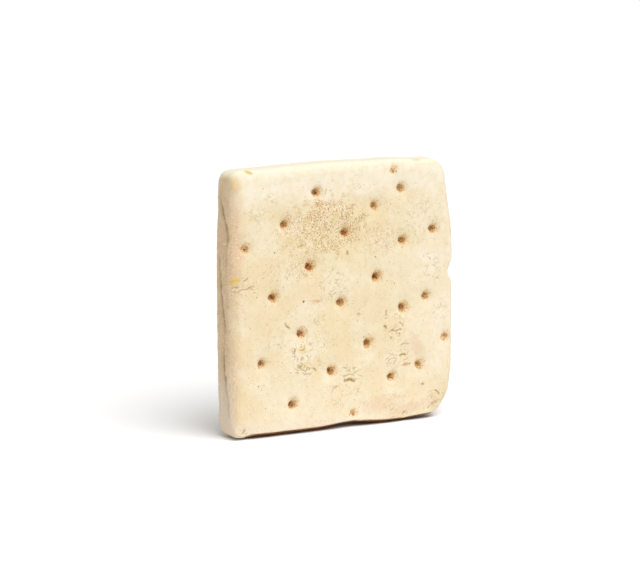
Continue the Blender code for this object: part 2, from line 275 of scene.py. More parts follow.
class CrustSettings(bpy.types.PropertyGroup):
    pit_depth: length("Pit depth", 1.3, "Depth of a full docking mark below its dimple")
    fine_step: length("Fine step", 0.27, "Distance between mesh points where the skin is flaky")
    edge_step: length("Edge step", 0.5, "Distance between mesh points along the rolled edge")
    back_step: length("Back step", 0.9, "Distance between mesh points on the back")
    unevenness: length("Unevenness", 0.10, "How far the dough's skin wanders from its plain form")
    flake_step: length("Flake step", 0.16, "How far a flake's torn edge stands above the next flake")
    crease_depth: length("Crease depth", 0.08, "Depth of the creases between flakes")
    toast_tooth: length("Toast tooth", 0.06, "Height of the grains of the toasted patches")
    crumb_tooth: length("Crumb tooth", 0.16, "Height of the crumbs in the docking marks")
    edge_tooth: length("Edge tooth", 0.09, "Roughness of the cut sides")
    lip_height: length("Lip height", 0.28, "How far the front half's torn edge stands out at the seam")
    seam_depth: length("Seam depth", 0.80, "Depth of the seam in the left side")

    cream: shade("Cream", "#EEE6D4", "Flour that took no colour")
    # Loose flour on top, and painted light from above: upward faces near the top are coloured paler.
    dust: shade("Dust", "#F2E9D2", "Flour that lies on the top edge")
    biscuit: shade("Biscuit", "#E3D1AC", "Skin that took a little colour")
    # Painted shade at the bottom of the seam in the left side.
    painted_seam_shade: shade("Seam", "#8A6A3C", "Bottom of the seam in the side")
    # The cut sides' own browner colour, also laid as painted shade on the front's left edge.
    fold: shade("Fold", "#A08C5C", "The back half's skin close behind the seam")
    rim: shade("Rim", "#D9BA97", "The cut side, drier and browner than the faces")
    toast: shade("Toast", "#CDA571", "Grain of the toasted patches")
    # Painted shade in the creases under the flakes and in the slits, and also the colour of darker grains and
    # of hairlines.
    crease: shade("Crease", "#9A7430", "Bottoms of the creases between flakes")
    # Also the colour of the painted shade to the right of each mark.
    mark_edge: shade("Mark edge", "#D6AE72", "Mouth of a docking mark")
    ruddy_wall: shade("Ruddy wall", "#BA663A", "Wall of the reddest docking marks")
    green_wall: shade("Green wall", "#B09450", "Wall of the greenest docking marks")
    ruddy_floor: shade("Ruddy floor", "#803C16", "Bottom of the reddest docking marks")
    green_floor: shade("Green floor", "#825E22", "Bottom of the greenest docking marks")
    # Painted shade: the underside along the foot is coloured dark, where the gap above the floor lies in
    # shade.
    sole: shade("Sole", "#7C4E2A", "Underside, browned by the hot plate")
    olive: shade("Olive", "#C4AE72", "Blotches of the toasted patches that took the most heat")
    blush: shade("Blush", "#E6BE98", "Blotches of the toasted patches that took the least heat")
    # Pale grains of flour, and also the painted highlight on the flakes' torn edges and on the seam's lip.
    pale_grain_and_painted_highlight: shade("Crumb", "#F4E8CE", "Grains of flour that caught no heat")
    butter: shade("Butter yellow", "#D8BC2A", "A spot of yellow")
    butter_pale: shade("Pale butter", "#DCC074", "A faint spot of yellow")
    rose: shade("Rose brown", "#CB9470", "A pinkish smear")
    tan: shade("Tan", "#A97A48", "A brown smear")
    straw: shade("Straw", "#DCC88E", "A yellowish cast")
    umber: shade("Umber", "#7C5A28", "A dark speck")
    ash: shade("Ash", "#E2D5C9", "A cool, floury cast near the foot")


class FleckSettings(bpy.types.PropertyGroup):
    count: number("Count", 150, "Small flecks of bran")
    smallest: length("Smallest", 0.16, "Length of the smallest fleck")
    largest: length("Largest", 0.34, "Length of the largest small fleck")
    bran: shade("Bran", "#6E4A20", "Dry bran")
    straw: shade("Straw", "#C8A06A", "What paler bran tends to")


class CrumbSettings(bpy.types.PropertyGroup):
    count: number("Count", 260, "Pale crumbs on the front")
    on_seam: number("On the seam", 120, "Pale crumbs at the seam")
    smallest: length("Smallest", 0.15, "Length of the smallest crumb")
    largest: length("Largest", 0.42, "Length of the largest crumb")
    flour: shade("Flour", "#FBF3DC", "Flour that took no colour")
    baked: shade("Baked", "#E0C48C", "What browner flour tends to")


class StageSettings(bpy.types.PropertyGroup):
    floor: shade("Floor", "#FFFFFF", "Matt white paper")
    floor_size: length("Floor size", 9000, "Side of the square floor")
    key_strength: brightness("Key strength", 2.5, "Irradiance of the softbox")
    sky_strength: brightness("Sky strength", 0.42, "Brightness of the white room")


# ---- shapes as functions of arrays


def smooth(t):
    """0 below 0, 1 above 1, and an even S between."""
    t = np.clip(t, 0.0, 1.0)
    return t * t * (3 - 2 * t)


def hump(t):
    """1 in the middle, 0 from -1 outwards and from 1 outwards, level at both."""
    return 0.5 + 0.5 * np.cos(np.pi * np.clip(t, -1.0, 1.0))


def swollen(x, z):
    """Points of the plain rounded rectangle, moved as the edges swelled or shrank."""
    nearness = {
        "right": smooth(2 * x / WIDTH),
        "left": smooth(-2 * x / WIDTH),
        "top": smooth(2 * z / HEIGHT - 1),
        "bottom": smooth(1 - 2 * z / HEIGHT),
    }
    right, up = np.zeros_like(x), np.zeros_like(z)
    for side, middle, half_length, out in SWELLS:
        sign = 1 if side in ("right", "top") else -1
        if side in ("left", "right"):
            right += sign * out * hump((z - middle) / half_length) * nearness[side]
        else:
            up += sign * out * hump((x - middle) / half_length) * nearness[side]
    return np.stack([x + right, z + up], 1)


def outline(step):
    """The widest contour as (x, z), anticlockwise seen from the front, with points about step apart."""
    arcs = []
    for side, at_top, radius, first in CORNERS:
        x, z = side * (WIDTH / 2 - radius), HEIGHT - radius if at_top else radius
        turn = np.radians(first + np.linspace(0, 90, 1 + math.ceil(math.pi / 2 * radius / step)))
        arcs.append(np.stack([x + radius * np.cos(turn), z + radius * np.sin(turn)], 1))
    pieces = []
    for arc, after in zip(arcs, arcs[1:] + arcs[:1]):
        count = math.ceil(np.linalg.norm(after[0] - arc[-1]) / step)
        along = np.linspace(0, 1, count + 1)[1:-1, None]
        pieces += [arc, arc[-1] + along * (after[0] - arc[-1])]
    points = np.concatenate(pieces)
    return swollen(points[:, 0], points[:, 1])


def drawn_in(contour, inset):
    """The contour drawn towards the middle of the face by inset, which may differ from point to point."""
    inset = np.reshape(inset, (-1, 1))
    middle = np.array([0, HEIGHT / 2])
    return middle + (contour - middle) * (1 - 2 * inset / np.array([WIDTH, HEIGHT]))


def dock_places():
    """x, z, depth share and browning of every mark, one row each."""
    rows = []
    for (row, pin), (right, up, share, brown) in DOCKS.items():
        x = PIN_ORIGIN[0] + row * ROW_PITCH * math.cos(ROW_ANGLE) + pin * PIN_PITCH * math.cos(PIN_ANGLE)
        z = PIN_ORIGIN[1] + row * ROW_PITCH * math.sin(ROW_ANGLE) + pin * PIN_PITCH * math.sin(PIN_ANGLE)
        rows.append((x + right, z + up, share, brown))
    return rows


def ragged(x, z, dock_x, dock_z, amount):
    """Distance from a mark, as if its edge were torn a little by the pin: each mark differently."""
    angle = np.arctan2(z - dock_z, x - dock_x)
    phase = dock_x * 1.7 + dock_z * 2.3
    torn = np.sin(2 * angle + phase) + 0.7 * np.sin(3 * angle + 2 * phase) + 0.5 * np.sin(5 * angle - phase)
    return np.hypot(x - dock_x, z - dock_z) * (1 + amount * torn)


def relief(x, z, pit_depth):
    """How far the baked face lies below its highest level."""
    depth = np.zeros_like(x)
    for dock_x, dock_z, share, _ in dock_places():
        away = np.hypot(x - dock_x, z - dock_z)
        near = away < PUFF_RADIUS
        if not near.any():
            continue
        away = away[near]
        torn = ragged(x[near] - PIT_DRAG, z[near], dock_x, dock_z, PIT_RAGGEDNESS)
        into_pit = (PIT_MOUTH_RADIUS - torn) / (PIT_MOUTH_RADIUS - PIT_FLOOR_RADIUS)
        depth[near] += PUFF_DEPTH * min(1.0, 2 * share) * hump(away / PUFF_RADIUS)
        depth[near] += DIMPLE_DEPTH * share * hump(torn / DIMPLE_RADIUS)
        depth[near] += pit_depth * share * smooth(into_pit)
    return depth


NOISE_LOW, NOISE_SPAN = np.array([-50.0, -15.0, -8.0]), np.array([100.0, 30.0, 100.0])


def dough_noise(points, period, seed):
    """Gradient noise in three dimensions, mostly from -1 to 1, with lumps about period across."""
    place = (points - NOISE_LOW) / period
    size = np.ceil(NOISE_SPAN / period).astype(int) + 2
    slopes = np.random.default_rng(seed).normal(size=(*size, 3))
    slopes /= np.linalg.norm(slopes, axis=-1, keepdims=True)
    base = np.floor(place).astype(int)
    part = place - base
    fade = part**3 * (part * (part * 6 - 15) + 10)
    total = np.zeros(len(points))
    for corner in np.ndindex(2, 2, 2):
        weight = np.prod(np.where(corner, fade, 1 - fade), 1)
        total += weight * ((part - corner) * slopes[tuple((base + corner).T)]).sum(1)
    return 2 * total


# The noise fields: width of a lump, and seed. Each flaky patch has two seeds of its own.
CLOUDS, LUMPS, COARSE, GRAIN = (9.0, 1), (3.4, 2), (1.3, 4), (0.55, 5)
PATCH_EDGES, FLAKE_GAPS, FIRST_FLAKE_SEED, FLAKE_SEED_STEP = (2.2, 11), (2.4, 12), 100, 10
MARK_MOTTLE, MARK_BLOTCHES = (0.55, 21), (1.1, 22)
SEAM_SWING, SEAM_JITTER, SEAM_GAPE = (2.3, 31), (0.8, 32), (3.0, 33)
STAIN_EDGES, STAIN_FRINGE = (0.9, 41), (0.45, 42)

# How broken skin is shaped: how far back a flake curls up, the widths of the crease under it and of its torn
# edge, the distance over which slopes are taken, a number that gives neighbouring flakes unlike levels, and
# how high a flake is as a share of its length.
CURL_WIDTH, CREASE_WIDTH, TORN_WIDTH = 0.8, 0.17, 0.25
SLOPE_REACH, GOLDEN, FLAKE_STRETCH = 0.05, 0.618, 0.72


def on_face(x, z):
    """Points of the face's plane, as dough_noise takes them."""
    return np.stack([x, np.zeros_like(x), z], 1)


def broken_skin(x, z, width, seed):
    """Skin that broke into overlapping flakes about width across, longer sideways than they are high:
    how far each point stands up towards its flake's torn edge, how near it lies to that edge, and how
    near to the crease under the next flake."""

    def layers(x, z):
        flat = on_face(FLAKE_STRETCH * x, z)
        return 1.8 * dough_noise(flat, 1.3 * width, seed) + 0.22 * dough_noise(flat, 0.4 * width, seed + 1)

    here = layers(x, z)
    beside, above_it = layers(x + SLOPE_REACH, z), layers(x, z + SLOPE_REACH)
    slope = np.hypot(beside - here, above_it - here) / SLOPE_REACH + 0.2
    part = here - np.floor(here)
    above = (1 - part) / slope
    curl = np.exp(-above / CURL_WIDTH)
    crease = np.exp(-((part / slope / CREASE_WIDTH) ** 2))
    own_level = np.mod(np.floor(here) * GOLDEN, 1.0)
    return 0.65 * curl + 0.35 * own_level - 0.3, np.exp(-((above / TORN_WIDTH) ** 2)), crease


def patch_mask(x, z, patch, edge_noise):
    """1 in the middle of a patch, 0 outside it, with a ragged edge."""
    middle_x, middle_z, half_x, half_z, most, _ = patch
    out = np.hypot((x - middle_x) / half_x, (z - middle_z) / half_z)
    return most * smooth((1.15 - out + 0.35 * edge_noise) / 0.45)


def skin(x, z):
    """What the oven did to the front's skin: how far flakes stand up, their torn edges, the creases between
    them, toasting, and hairlines."""
    edge_noise = dough_noise(on_face(x, z), *PATCH_EDGES)
    gaps = smooth((dough_noise(on_face(x, z), *FLAKE_GAPS) + 0.25) / 0.4)
    stand, torn, crease, toast, hairline = (np.zeros_like(x) for _ in range(5))
    for k, patch in enumerate(FLAKY.values()):
        mask = patch_mask(x, z, patch, edge_noise)
        here = mask > 0.01
        if here.any():
            seed = FIRST_FLAKE_SEED + FLAKE_SEED_STEP * k
            flake, curl, low = broken_skin(x[here], z[here], patch[5], seed)
            stand[here] += mask[here] * flake
            torn[here] = np.maximum(torn[here], mask[here] * gaps[here] * curl)
            crease[here] = np.maximum(crease[here], mask[here] * gaps[here] * low)
            hairline[here] = np.maximum(hairline[here], mask[here])
    for patch in TOASTED.values():
        toast = np.maximum(toast, patch_mask(x, z, patch, edge_noise))
    return stand, torn, crease, toast, hairline


def along_and_across(x, z, tilt):
    """Places measured along and across something that is tilted by so many degrees."""
    turn = math.radians(tilt)
    return x * math.cos(turn) + z * math.sin(turn), z * math.cos(turn) - x * math.sin(turn)


def slit_mask(x, z):
    """(depth, painted shade) of the short slits: the shade is darker where a slit is deeper."""
    depth, dark = np.zeros_like(x), np.zeros_like(x)
    for middle_x, middle_z, half_length, tilt, half_width, deep in SLITS:
        along, across = along_and_across(x - middle_x, z - middle_z, tilt)
        across = across - SLIT_WAVE * np.sin(along * 2.1 + middle_x)
        inside = smooth((1 - np.abs(along / half_length)) / 0.35) * hump(across / (2 * half_width))
        depth = np.maximum(depth, deep * inside)
        dark = np.maximum(dark, inside * min(1.0, deep / 0.25))
    return depth, dark


def side_seam(points):
    """(opening, lip, fold) of the seam in the left side at each point, from 0 to 1. The lip is the front
    half's torn edge, which stands out beside the seam, and the fold is the back half close behind it."""
    on_left = smooth((-points[:, 0] - WIDTH / 2 + 3.2) / 1.2)
    upright = points * [0, 0, 1]
    wander = 0.25 * dough_noise(upright, *SEAM_SWING) + 0.15 * dough_noise(upright, *SEAM_JITTER)
    gape = 1 + 0.5 * dough_noise(upright, *SEAM_GAPE)
    opening, lip, fold = np.zeros((3, len(points)))
    for strand in SEAMS:
        heights, places, openness = np.array(strand[::-1]).T
        off = points[:, 1] - np.interp(points[:, 2], heights, places) - wander
        open_here = on_left * np.interp(points[:, 2], heights, openness)
        opening = np.maximum(opening, open_here * hump(off / (2 * SEAM_HALF_WIDTH * gape)))
        torn = np.where(off < 0, np.exp(np.minimum(off, 0) / LIP_WIDTH), np.exp(-np.maximum(off, 0) / 0.15))
        lip = np.maximum(lip, open_here * torn)
        behind = open_here * smooth(off / 0.2 + 1)
        fold = np.maximum(fold, behind * np.exp(-np.maximum(off, 0) / (FOLD_WIDTH * gape)))
    return opening, lip, fold


# ---- the mesh of the crust

ROLL_STEPS, SIDE_STEPS = 10, 14  # rings of points round each rolled edge, and across the side
FRONT_RADII = (0.25, 0.45, 0.65, 0.82, 0.98, 1.14, 1.32, 1.56, 1.85, 2.2)  # rings round a docking mark
BACK_RADII = (0.3, 0.6, 0.85, 1.1, 1.4, 1.9)
FRONT_SPOKES, BACK_SPOKES = 22, 12  # points in each of those rings
CLEARANCE = 0.6  # how many steps of the grid the points keep from marks, and from the border in front


def rolled(radius, share):
    """(inset, drop) on a quarter round between a face, at share 0, and the side, at share 1."""
    turn = math.pi / 2 * share
    return radius * (1 - math.sin(turn)), radius * (1 - math.cos(turn))


def lower_lift(x):
    """How far the front edge is lifted off the ground along the foot."""
    start, full, lost = LIFT_STARTS
    lift = LOWER_LIFT * (1 - lost * smooth((full - x) / (full - start)))
    start, end, lost = LIFT_FADES
    return lift * (1 - lost * smooth((x - start) / (end - start)))


def front_edge(share, x, z):
    """(inset, drop) between the front face and the side, for contour points at (x, z)."""
    inset, drop = rolled(FRONT_ROLL, share)
    if share < LOWER_ROUND_SHARE:
        lower_inset, lower_drop = rolled(LOWER_ROLL, share / LOWER_ROUND_SHARE)
        lower_inset = lower_inset + lower_lift(x)
    else:
        along = (share - LOWER_ROUND_SHARE) / (1 - LOWER_ROUND_SHARE)
        lower_inset = lower_lift(x) * (1 - along)
        lower_drop = LOWER_ROLL + along * (FRONT_ROLL - LOWER_ROLL)
    lower = smooth((LOWER_TOP - z) / LOWER_FADE)
    return inset + lower * (lower_inset - inset), drop + lower * (lower_drop - drop)


def edge_rings(contour, pit_depth):
    """The rings of points round the edge, from the border of the front face to that of the back."""
    x, z = contour.T

    def rolled_ring(share, edge, y, into, depth_share):
        """A ring at a share of the roll beside the face at y, whose edge is (inset, drop) there."""
        inset, drop = edge
        ring_x, ring_z = drawn_in(contour, inset).T
        sunk = math.cos(math.pi / 2 * share) * depth_share * relief(ring_x, ring_z, pit_depth)
        return np.stack([ring_x, y + into * drop + into * sunk, ring_z], 1)

    shares = np.linspace(0, 1, ROLL_STEPS + 1)
    rings = [rolled_ring(share, front_edge(share, x, z), FRONT, 1, 1) for share in shares]
    for share in np.linspace(0, 1, SIDE_STEPS + 1)[1:-1]:
        y = FRONT + FRONT_ROLL + share * (THICKNESS - FRONT_ROLL - BACK_ROLL)
        rings.append(np.stack([x, np.full(len(x), y), z], 1))
    shares = np.linspace(1, 0, ROLL_STEPS + 1)
    return rings + [rolled_ring(share, rolled(BACK_ROLL, share), BACK, -1, BACK_SHARE) for share in shares]


def clear_inside(points, border, margin):
    """Which of the points are inside the border polygon and further than margin from its corners."""
    x, z = points.T
    within, clear = np.zeros(len(x), bool), np.ones(len(x), bool)
    for (ax, az), (bx, bz) in zip(border, np.roll(border, -1, 0)):
        crosses = (az > z) != (bz > z)
        if az != bz:
            within ^= crosses & (x < ax + (z - az) * (bx - ax) / (bz - az))
        clear &= (x - ax) ** 2 + (z - az) ** 2 > margin**2
    return points[within & clear]


def lattice(step):
    """A triangular grid over the face: (points, which of them are also on the grid twice as wide)."""
    across, upward = int(WIDTH / step) + 4, int(HEIGHT / (step * math.sqrt(3) / 2)) + 4
    row, column = np.meshgrid(np.arange(upward), np.arange(across), indexing="ij")
    x = (column + row / 2) * step
    x = np.mod(x, across * step) - across * step / 2
    z = row * step * math.sqrt(3) / 2
    coarse = (row % 2 == 0) & (column % 2 == 0)
    return np.stack([x.ravel(), z.ravel()], 1), coarse.ravel()


def mark_rings(radii, sides):
    """Rings of points round every docking mark."""
    rings = []
    for dock_x, dock_z, _, _ in dock_places():
        rings.append([[dock_x, dock_z]])
        for k, radius in enumerate(radii):
            turn = 2 * math.pi * (np.arange(sides) + k / 2) / sides
            rings.append(np.stack([dock_x + radius * np.cos(turn), dock_z + radius * np.sin(turn)], 1))
    return np.concatenate(rings)


def away_from_marks(points, least):
    """Those of the points that are further than least from every mark, and which ones they are."""
    clear = np.ones(len(points), bool)
    for dock_x, dock_z, _, _ in dock_places():
        clear &= np.hypot(points[:, 0] - dock_x, points[:, 1] - dock_z) > least
    return points[clear], clear


def broken_here(x, z):
    """Which places are in or beside a patch or a slit."""
    broken = np.zeros(len(x), bool)
    for middle_x, middle_z, half_x, half_z, _, _ in PATCHES:
        broken |= np.hypot((x - middle_x) / half_x, (z - middle_z) / half_z) < 1.3
    for middle_x, middle_z, half_length, _, _, _ in SLITS:
        broken |= np.hypot(x - middle_x, z - middle_z) < half_length + 0.5
    return broken


def front_points(border, fine):
    """Points of the front: rings at the marks, and a grid that is fine only where the skin is broken."""
    points, coarse = lattice(fine)
    points, clear = away_from_marks(points, FRONT_RADII[-1] + CLEARANCE * fine)
    points = points[broken_here(*points.T) | coarse[clear]]
    points = np.concatenate([points, mark_rings(FRONT_RADII, FRONT_SPOKES)])
    return clear_inside(points, border, CLEARANCE * fine)


def back_points(border, step):
    """Points of the back: rings at the marks and an even grid."""
    points, _ = away_from_marks(lattice(step)[0], BACK_RADII[-1] + CLEARANCE * step)
    return clear_inside(np.concatenate([points, mark_rings(BACK_RADII, BACK_SPOKES)]), border, 0.4 * step)


def face_triangles(border, inner):
    """Triangles over the border and the points inside it, as indices into both, one after the other."""
    flat = [Vector(point) for point in np.concatenate([border, inner])]
    loop = [(n, (n + 1) % len(border)) for n in range(len(border))]
    made = delaunay_2d_cdt(flat, loop, [], 1, 1e-5)
    source = [came_from[0] for came_from in made[3]]
    return np.array([[source[n] for n in triangle] for triangle in made[2]])


def crust_mesh(settings):
    """The biscuit's plain form, finely meshed: (points, faces)."""
    pit_depth = settings.pit_depth / MM
    rings = edge_rings(outline(settings.edge_step / MM), pit_depth)
    count = len(rings[0])
    points = np.concatenate(rings)
    here = np.arange(count)
    after = (here + 1) % count
    faces = []
    for near in range(0, len(points) - count, count):
        far = near + count
        faces += np.stack([near + here, far + here, far + after, near + after], 1).tolist()
    for start, y, into, inner_of, step in (
        (0, FRONT, 1.0, front_points, settings.fine_step),
        (len(points) - count, BACK, -BACK_SHARE, back_points, settings.back_step),
    ):
        border = points[start : start + count][:, [0, 2]]
        inner = inner_of(border, step / MM)
        depth = relief(inner[:, 0], inner[:, 1], pit_depth)
        index = np.concatenate([start + here, len(points) + np.arange(len(inner))])
        points = np.concatenate([points, np.stack([inner[:, 0], y + into * depth, inner[:, 1]], 1)])
        triangles = index[face_triangles(border, inner)]
        faces += (triangles if into > 0 else triangles[:, ::-1]).tolist()
    return points, faces


def weathered(points, normals, settings):
    """The points moved along their normals as baking roughened the skin, and the masks of what it did and of
    the painted light and shade laid on it.
    """
    front = smooth((-normals[:, 1] - 0.35) / 0.4)
    side = 1 - smooth((np.abs(normals[:, 1]) - 0.2) / 0.7)
    x, z = points[:, 0], points[:, 2]
    stand, torn, crease, toast, hairline = skin(x, z)
    slit, slit_shade = slit_mask(x, z)
    seam, lip, fold = side_seam(points)
    mark, pit = np.zeros(len(x)), np.zeros(len(x))
    for dock_x, dock_z, _, _ in dock_places():
        away = np.hypot(x - dock_x, z - dock_z)
        mark = np.maximum(mark, hump(away / CALM_RADIUS))
        pit = np.maximum(pit, smooth((CRUMBLY_RADIUS - away) / 0.6))
    calm = front * (1 - 0.85 * mark)

    clouds, lumps = dough_noise(points, *CLOUDS), dough_noise(points, *LUMPS)
    coarse, grain = dough_noise(points, *COARSE), dough_noise(points, *GRAIN)
    wander = 0.55 * clouds + 0.35 * lumps + 0.15 * coarse
    out = settings.unevenness / MM * (wander - 0.8) * (1 - 0.6 * mark)
    upward = smooth((normals[:, 2] - 0.25) / 0.45)
    out += side * (1 - 0.7 * upward) * settings.edge_tooth / MM * (lumps + coarse + 0.4 * grain)
    out += calm * settings.flake_step / MM * stand
    out += calm * toast * settings.toast_tooth / MM * (0.4 * coarse + grain)
    out += SKIN_TOOTH * grain * front
    out -= calm * settings.crease_depth / MM * crease
    out -= front * (slit + settings.crumb_tooth / MM * pit * (grain + 0.5 * coarse))
    out += settings.lip_height / MM * lip - settings.seam_depth / MM * seam
    out *= smooth(z / FOOT_HEIGHT)

    # Painted shade: the left side's colour reaches round onto the front's left edge, where the face turns
    # from the light, darker above the middle than below it. Both sides are paler low down, and the front is
    # palest along the top, low on the left half and to the right.
    low = smooth((26 - z) / 18)
    baked = hump((z - 58) / 14) - 0.6 * hump((z - 31) / 16)
    left = smooth((-x - 33.2 + 1.5 * lumps + 0.4 * baked) / 4.5) * (1 + 0.4 * baked)
    left = left * (1 - smooth((z - 76 + 2 * lumps) / 4)) * (1 - 0.35 * low)
    dry = side * (0.85 + 0.3 * lumps) * (1 - 0.3 * smooth((points[:, 1] - 1) / 2)) * (1 - 0.8 * low)
    pale_top = smooth((z - 66 + 4 * wander) / 7)
    pale_low = 0.4 * smooth((23 - z + 3 * wander) / 12) * smooth((17 - x) / 12) * smooth((x + 36) / 16)
    pale_right = 0.6 * smooth((x - 4 + 3 * wander) / 26) * smooth((z - 4) / 14)
    pale_right = pale_right * (1 - 0.5 * smooth((z - 50) / 8))
    ashen_foot = 0.38 * front * smooth((7 - z) / 5) * smooth((2 - x) / 8)
    masks = {
        # Painted shade: the creases under the flakes and the slits are coloured darker, as shade falls in
        # them.
        "crease": np.maximum(calm * crease, front * slit_shade),
        "toast": front * toast,
        "hairline": calm * hairline,
        # Painted highlight: the flakes' torn edges are coloured paler, as if they caught the light.
        "torn": calm * torn,
        # The cut sides' colour, with painted shade on the front's left edge. Upward faces keep little of it,
        # which leaves them lighter, as if lit from above.
        "rim": np.maximum(dry, 0.68 * left) * (1 - 0.9 * upward),
        "pale": np.maximum.reduce((pale_top, pale_low, 0.7 * side * low, pale_right)),
        "ashen": np.maximum(0.4 * side * low, ashen_foot),
        # Loose flour, and painted light from above, on upward faces near the top.
        "dusted": smooth((normals[:, 2] - 0.45) / 0.45) * smooth((z - 60) / 10),
        # Painted shade on the underside along the foot, where the gap above the floor is in shade.
        "sole": smooth((2.2 - z) / 0.8) * smooth((-normals[:, 2] - 0.15) / 0.4) * smooth((x + 36) / 6),
        # Painted shade: the bottom of the seam is coloured dark, where shade falls in it.
        "seam": seam * (0.75 + 0.4 * coarse),
        "fold": fold,
        # Painted highlight on the seam's torn lip.
        "lip": lip * smooth(0.5 + 1.2 * grain + 0.6 * coarse),
    }
    return points + out[:, None] * normals, masks


def browned_masks(points, normals):
    """How brown each docking mark is at each point, from 0 to 1, and how ruddy: a mottled, ragged middle,
    browned and in part painted shade on the pit's dark floor, and a fainter surround further to the right,
    which is painted shade on the pit's right wall."""
    x, z = points[:, 0], points[:, 2]
    fine, coarse = dough_noise(points, *MARK_MOTTLE), dough_noise(points, *MARK_BLOTCHES)
    brown, ruddy = np.zeros(len(x)), np.full(len(x), 0.5)
    for (dock_x, dock_z, share, amount), mark in zip(dock_places(), DOCKS):
        reach = 0.55 + 0.45 * min(1.0, 2 * share)
        away = ragged(x - 2 * PIT_DRAG, z + 0.3, dock_x, dock_z, BROWN_RAGGEDNESS) / reach
        away = away + 0.40 * fine + 0.25 * coarse
        # Painted shade: a faint surround, moved to the right and up, where the pit's right wall lies in
        # shade.
        around = np.hypot(x - dock_x - 0.7, z - dock_z - 0.3) / reach + 0.25 * coarse
        core = 0.69 * smooth((1.7 - away) / 1.1) * (1 + 0.9 * fine + 0.5 * coarse)
        brown = np.maximum(brown, amount * np.maximum(core, 0.30 * smooth((3.2 - around) / 2.4)))
        ruddy[around < 4] = 0.5 + 0.5 * RUDDY.get(mark, 0)
    on_back = normals[:, 1] > 0.3
    return {"browned": np.clip(brown * np.where(on_back, 0.6, 1.0), 0, 1), "ruddy": ruddy}


def stain_colours(points, normals, settings):
    """Colour and strength of the stains at each point, as RGBA."""
    x, z = points[:, 0], points[:, 2]
    ragged_edge = dough_noise(points, *STAIN_EDGES) + 0.5 * dough_noise(points, *STAIN_FRINGE)
    stain = np.tile(np.array(settings.biscuit[:]), (len(x), 1))
    stain[:, 3] = 0
    front = smooth((-normals[:, 1] - 0.1) / 0.3)
    for name, places in STAINS.items():
        for middle_x, middle_z, half_along, half_across, tilt, most in places:
            along, across = along_and_across(x - middle_x, z - middle_z, tilt)
            out = np.hypot(along / half_along, across / half_across)
            amount = front * most * smooth((1.25 - out + 0.3 * ragged_edge) / 0.9)
            stronger = amount > stain[:, 3]
            stain[stronger, :3] = getattr(settings, name)[:3]
            stain[:, 3] = np.maximum(stain[:, 3], amount)
    return stain


def linked(name, data):
    """A new object in the scene, of that mesh, light or camera."""
    made = bpy.data.objects.new(name, data)
    bpy.context.scene.collection.objects.link(made)
    return made


def object_from(name, points, faces):
    """A new object in the scene, of a mesh in millimetres."""
    mesh = bpy.data.meshes.new(name)
    mesh.from_pydata(np.asarray(points) * MM, [], faces)
    mesh.update()
    return linked(name, mesh)


# ---- materials

# The nodes that the materials are made of: Blender's name, its settings, the sockets that its inputs go to in
# the order they are given, and the output that is used. Mix knows its colour sockets only by number.
NODES = {
    "place": ("TexCoord", {}, (), "Object"),
    "mask": ("Attribute", {}, (), "Fac"),
    "noise": ("TexNoise", {}, ("Vector", "Scale", "Detail", "Roughness"), "Fac"),
    "cells": ("TexVoronoi", {"feature": "DISTANCE_TO_EDGE"}, ("Vector", "Scale"), "Distance"),
    "between": ("MapRange", {"interpolation_type": "SMOOTHSTEP"}, ("Value", "From Min", "From Max"), 0),
    "times": ("Math", {"operation": "MULTIPLY"}, (0, 1), 0),
    "times_plus": ("Math", {"operation": "MULTIPLY_ADD", "use_clamp": True}, (0, 1, 2), 0),
    "moved": ("VectorMath", {"operation": "MULTIPLY_ADD"}, (0, 1, 2), 0),
    "mix": ("Mix", {"data_type": "RGBA"}, (0, 6, 7), 2),
    "bump": ("Bump", {}, ("Height", "Strength", "Distance"), "Normal"),
}


def add(tree, name, *inputs, **settings):
    """Adds one of the NODES with its settings, sets or links its inputs, and returns its output."""
    kind, usual, sockets, output = NODES[name]
    made = tree.nodes.new("ShaderNode" + kind)
    for setting, value in (usual | settings).items():
        setattr(made, setting, value)
    for socket, value in zip(sockets, inputs):
        if isinstance(value, bpy.types.NodeSocket):
            tree.links.new(value, made.inputs[socket])
        else:
            made.inputs[socket].default_value = value
    return made.outputs[output]


def scale(width):
    """The scale of a pattern whose lumps are this many millimetres wide."""
    return 1 / (width * MM)


def new_material(name, surface):
    """A material whose shader has these plain values: (material, node tree, shader)."""
    material = bpy.data.materials.new(name)
    material.use_nodes = True
    shader = material.node_tree.nodes["Principled BSDF"]
    for socket, value in surface.items():
        shader.inputs[socket].default_value = value
    return material, material.node_tree, shader


# The masks that weathered and browned_masks give the crust.
DOUGH_MASKS = (
    "rim", "pale", "ashen", "dusted", "toast", "hairline", "torn", "crease", "browned", "ruddy", "sole",
    "fold", "lip", "seam",
)


